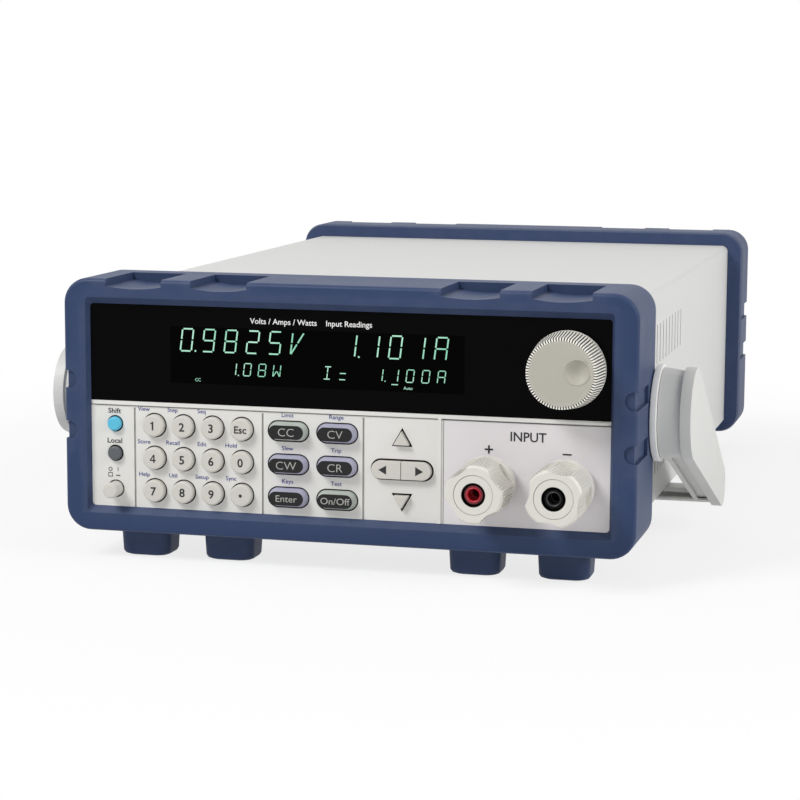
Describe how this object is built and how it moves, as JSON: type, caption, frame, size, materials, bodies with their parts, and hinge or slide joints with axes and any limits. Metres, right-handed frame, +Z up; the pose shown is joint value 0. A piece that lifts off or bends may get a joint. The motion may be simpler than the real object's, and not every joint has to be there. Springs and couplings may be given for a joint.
{
  "type": "dc electronic load",
  "caption": "Bench electronic load in a grey case with navy end bumpers, keypad, lit display, knob, screw-down input terminals and a swing-round carry handle.",
  "frame": {"origin": "on the floor, under the middle of the overall box", "axes": "+X to the right seen from the front, +Y to the rear, +Z up"},
  "size_m": [0.261, 0.3786, 0.1117],
  "materials": {
    "bumper_plastic": "satin navy moulding with fine grain",
    "case_paint": "light grey powder coat",
    "sheet_steel": "zinc plated sheet",
    "panel_plastic": "warm off-white satin",
    "terminal_plate_plastic": "off-white satin",
    "window_lens": "black gloss lens",
    "display_glass": "dark glass display",
    "circuit_board": "green solder mask",
    "black_plastic": "black moulding",
    "bright_steel": "turned steel",
    "stud_brass": "bright brass",
    "red_plastic": "red moulding",
    "bus_copper": "bare copper",
    "heatsink_aluminium": "extruded, mill finish",
    "core_steel": "varnished core and winding",
    "sense_plastic": "green moulding",
    "hub_plastic": "white moulding",
    "handle_plastic": "light grey satin",
    "knob_plastic": "warm grey satin",
    "cap_plastic": "off-white satin",
    "round_key_plastic": "light warm grey",
    "oval_key_plastic": "milky lavender with a black printed face",
    "arrow_key_plastic": "light warm grey",
    "shift_key_plastic": "cyan",
    "local_key_plastic": "dark grey",
    "power_key_plastic": "light warm grey"
  },
  "bodies": {
    "chassis": {"front_bumper": "bumper_plastic", "rear_bumper": "bumper_plastic", "top_cover": "case_paint", "chassis_tray": "sheet_steel", "front_panel": "panel_plastic", "terminal_plate": "terminal_plate_plastic", "display_window": "window_lens", "display_tube": "display_glass", "front_board": "circuit_board", "key_switches": "black_plastic", "encoder_body": "bright_steel", "power_switch": "black_plastic", "terminal_posts": "stud_brass", "positive_insulator": "red_plastic", "negative_insulator": "black_plastic", "bus_bars": "bus_copper", "main_board": "circuit_board", "heatsink": "heatsink_aluminium", "power_transistors": "black_plastic", "fan_frame": "black_plastic", "transformer": "core_steel", "rear_panel": "sheet_steel", "mains_inlet": "black_plastic", "serial_port": "sheet_steel", "sense_block": "sense_plastic", "handle_hubs": "hub_plastic", "case_screws": "bright_steel"},
    "handle": {"carry_handle": "handle_plastic"},
    "knob": {"control_knob": "knob_plastic", "encoder_shaft": "bright_steel"},
    "positive_ring": {"positive_insert": "cap_plastic"},
    "positive_screw_cap": {"positive_cap": "cap_plastic"},
    "negative_ring": {"negative_insert": "cap_plastic"},
    "negative_screw_cap": {"negative_cap": "cap_plastic"},
    "rotor": {"fan_rotor": "black_plastic"},
    "key_1_body": {"key_1": "round_key_plastic"},
    "key_2_body": {"key_2": "round_key_plastic"},
    "key_3_body": {"key_3": "round_key_plastic"},
    "key_escape_body": {"key_escape": "round_key_plastic"},
    "key_4_body": {"key_4": "round_key_plastic"},
    "key_5_body": {"key_5": "round_key_plastic"},
    "key_6_body": {"key_6": "round_key_plastic"},
    "key_0_body": {"key_0": "round_key_plastic"},
    "key_7_body": {"key_7": "round_key_plastic"},
    "key_8_body": {"key_8": "round_key_plastic"},
    "key_9_body": {"key_9": "round_key_plastic"},
    "key_point_body": {"key_point": "round_key_plastic"},
    "key_cc_body": {"key_cc": "oval_key_plastic"},
    "key_cv_body": {"key_cv": "oval_key_plastic"},
    "key_cw_body": {"key_cw": "oval_key_plastic"},
    "key_cr_body": {"key_cr": "oval_key_plastic"},
    "key_enter_body": {"key_enter": "oval_key_plastic"},
    "key_on_off_body": {"key_on_off": "oval_key_plastic"},
    "key_up_body": {"key_up": "arrow_key_plastic"},
    "key_down_body": {"key_down": "arrow_key_plastic"},
    "key_left_body": {"key_left": "arrow_key_plastic"},
    "key_right_body": {"key_right": "arrow_key_plastic"},
    "key_shift_body": {"key_shift": "shift_key_plastic"},
    "key_local_body": {"key_local": "local_key_plastic"},
    "power_button_body": {"power_button": "power_key_plastic"}
  },
  "joints": [
    {"name": "handle_swing", "type": "hinge", "parent": "chassis", "child": "handle", "pos_m": [0, -0.1207, 0.06141], "axis": [-1, 0, 0], "range_deg": [0, 300]},
    {"name": "knob_turn", "type": "hinge", "parent": "chassis", "child": "knob", "pos_m": [0.08729, -0.1653, 0.08253], "axis": [0, -1, 0], "continuous": true},
    {"name": "fan_spin", "type": "hinge", "parent": "chassis", "child": "rotor", "pos_m": [0.05523, 0.152, 0.06141], "axis": [0, 1, 0], "continuous": true},
    {"name": "positive_cap_travel", "type": "slide", "parent": "chassis", "child": "positive_ring", "axis": [0, -1, 0], "range_m": [0, 0.0051]},
    {"name": "positive_cap_turn", "type": "hinge", "parent": "positive_ring", "child": "positive_screw_cap", "pos_m": [0.05729, -0.1653, 0.0377], "axis": [0, -1, 0], "range_deg": [0, 1440]},
    {"name": "negative_cap_travel", "type": "slide", "parent": "chassis", "child": "negative_ring", "axis": [0, -1, 0], "range_m": [0, 0.0051]},
    {"name": "negative_cap_turn", "type": "hinge", "parent": "negative_ring", "child": "negative_screw_cap", "pos_m": [0.08748, -0.1653, 0.0377], "axis": [0, -1, 0], "range_deg": [0, 1440]},
    {"name": "key_1_press", "type": "slide", "parent": "chassis", "child": "key_1_body", "axis": [0, 1, 0], "range_m": [0, 0.001], "stiffness_N_per_m": 800},
    {"name": "key_2_press", "type": "slide", "parent": "chassis", "child": "key_2_body", "axis": [0, 1, 0], "range_m": [0, 0.001], "stiffness_N_per_m": 800},
    {"name": "key_3_press", "type": "slide", "parent": "chassis", "child": "key_3_body", "axis": [0, 1, 0], "range_m": [0, 0.001], "stiffness_N_per_m": 800},
    {"name": "key_escape_press", "type": "slide", "parent": "chassis", "child": "key_escape_body", "axis": [0, 1, 0], "range_m": [0, 0.001], "stiffness_N_per_m": 800},
    {"name": "key_4_press", "type": "slide", "parent": "chassis", "child": "key_4_body", "axis": [0, 1, 0], "range_m": [0, 0.001], "stiffness_N_per_m": 800},
    {"name": "key_5_press", "type": "slide", "parent": "chassis", "child": "key_5_body", "axis": [0, 1, 0], "range_m": [0, 0.001], "stiffness_N_per_m": 800},
    {"name": "key_6_press", "type": "slide", "parent": "chassis", "child": "key_6_body", "axis": [0, 1, 0], "range_m": [0, 0.001], "stiffness_N_per_m": 800},
    {"name": "key_0_press", "type": "slide", "parent": "chassis", "child": "key_0_body", "axis": [0, 1, 0], "range_m": [0, 0.001], "stiffness_N_per_m": 800},
    {"name": "key_7_press", "type": "slide", "parent": "chassis", "child": "key_7_body", "axis": [0, 1, 0], "range_m": [0, 0.001], "stiffness_N_per_m": 800},
    {"name": "key_8_press", "type": "slide", "parent": "chassis", "child": "key_8_body", "axis": [0, 1, 0], "range_m": [0, 0.001], "stiffness_N_per_m": 800},
    {"name": "key_9_press", "type": "slide", "parent": "chassis", "child": "key_9_body", "axis": [0, 1, 0], "range_m": [0, 0.001], "stiffness_N_per_m": 800},
    {"name": "key_point_press", "type": "slide", "parent": "chassis", "child": "key_point_body", "axis": [0, 1, 0], "range_m": [0, 0.001], "stiffness_N_per_m": 800},
    {"name": "key_cc_press", "type": "slide", "parent": "chassis", "child": "key_cc_body", "axis": [0, 1, 0], "range_m": [0, 0.001], "stiffness_N_per_m": 800},
    {"name": "key_cv_press", "type": "slide", "parent": "chassis", "child": "key_cv_body", "axis": [0, 1, 0], "range_m": [0, 0.001], "stiffness_N_per_m": 800},
    {"name": "key_cw_press", "type": "slide", "parent": "chassis", "child": "key_cw_body", "axis": [0, 1, 0], "range_m": [0, 0.001], "stiffness_N_per_m": 800},
    {"name": "key_cr_press", "type": "slide", "parent": "chassis", "child": "key_cr_body", "axis": [0, 1, 0], "range_m": [0, 0.001], "stiffness_N_per_m": 800},
    {"name": "key_enter_press", "type": "slide", "parent": "chassis", "child": "key_enter_body", "axis": [0, 1, 0], "range_m": [0, 0.001], "stiffness_N_per_m": 800},
    {"name": "key_on_off_press", "type": "slide", "parent": "chassis", "child": "key_on_off_body", "axis": [0, 1, 0], "range_m": [0, 0.001], "stiffness_N_per_m": 800},
    {"name": "key_up_press", "type": "slide", "parent": "chassis", "child": "key_up_body", "axis": [0, 1, 0], "range_m": [0, 0.001], "stiffness_N_per_m": 800},
    {"name": "key_down_press", "type": "slide", "parent": "chassis", "child": "key_down_body", "axis": [0, 1, 0], "range_m": [0, 0.001], "stiffness_N_per_m": 800},
    {"name": "key_left_press", "type": "slide", "parent": "chassis", "child": "key_left_body", "axis": [0, 1, 0], "range_m": [0, 0.001], "stiffness_N_per_m": 800},
    {"name": "key_right_press", "type": "slide", "parent": "chassis", "child": "key_right_body", "axis": [0, 1, 0], "range_m": [0, 0.001], "stiffness_N_per_m": 800},
    {"name": "key_shift_press", "type": "slide", "parent": "chassis", "child": "key_shift_body", "axis": [0, 1, 0], "range_m": [0, 0.001], "stiffness_N_per_m": 800},
    {"name": "key_local_press", "type": "slide", "parent": "chassis", "child": "key_local_body", "axis": [0, 1, 0], "range_m": [0, 0.001], "stiffness_N_per_m": 800},
    {"name": "power_press", "type": "slide", "parent": "chassis", "child": "power_button_body", "axis": [0, 1, 0], "range_m": [0, 0.003], "stiffness_N_per_m": 500}
  ],
  "couplings": [
    {"joint": "positive_cap_travel", "follows": "positive_cap_turn", "m_per_rad": 0.00019894},
    {"joint": "negative_cap_travel", "follows": "negative_cap_turn", "m_per_rad": 0.00019894}
  ]
}
